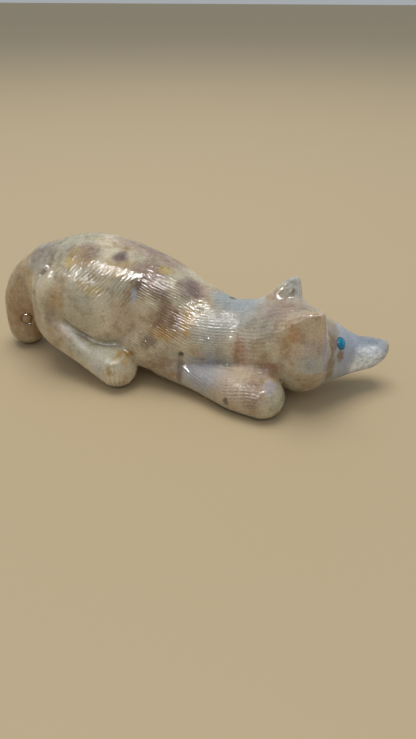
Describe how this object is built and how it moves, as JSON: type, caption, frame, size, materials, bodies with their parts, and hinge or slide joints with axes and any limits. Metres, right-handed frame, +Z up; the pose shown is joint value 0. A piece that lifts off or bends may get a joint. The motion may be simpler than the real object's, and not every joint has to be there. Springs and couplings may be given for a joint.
{
  "type": "carved stone animal figurine",
  "caption": "Small polished stone animal of the dog family, crouched with its rump high and its head low and turned, with inlaid turquoise eyes.",
  "frame": {"origin": "on the table under the middle of the stone's overall length and width", "axes": "+X runs from the tail to the nose, +Y to the animal's left, +Z up from the table"},
  "size_m": [0.1084, 0.0382, 0.0352],
  "materials": {
    "stone": "polished",
    "turquoise": "polished"
  },
  "bodies": {
    "root": {"stone_animal": "stone", "right_eye": "turquoise", "left_eye": "turquoise"}
  },
  "joints": []
}
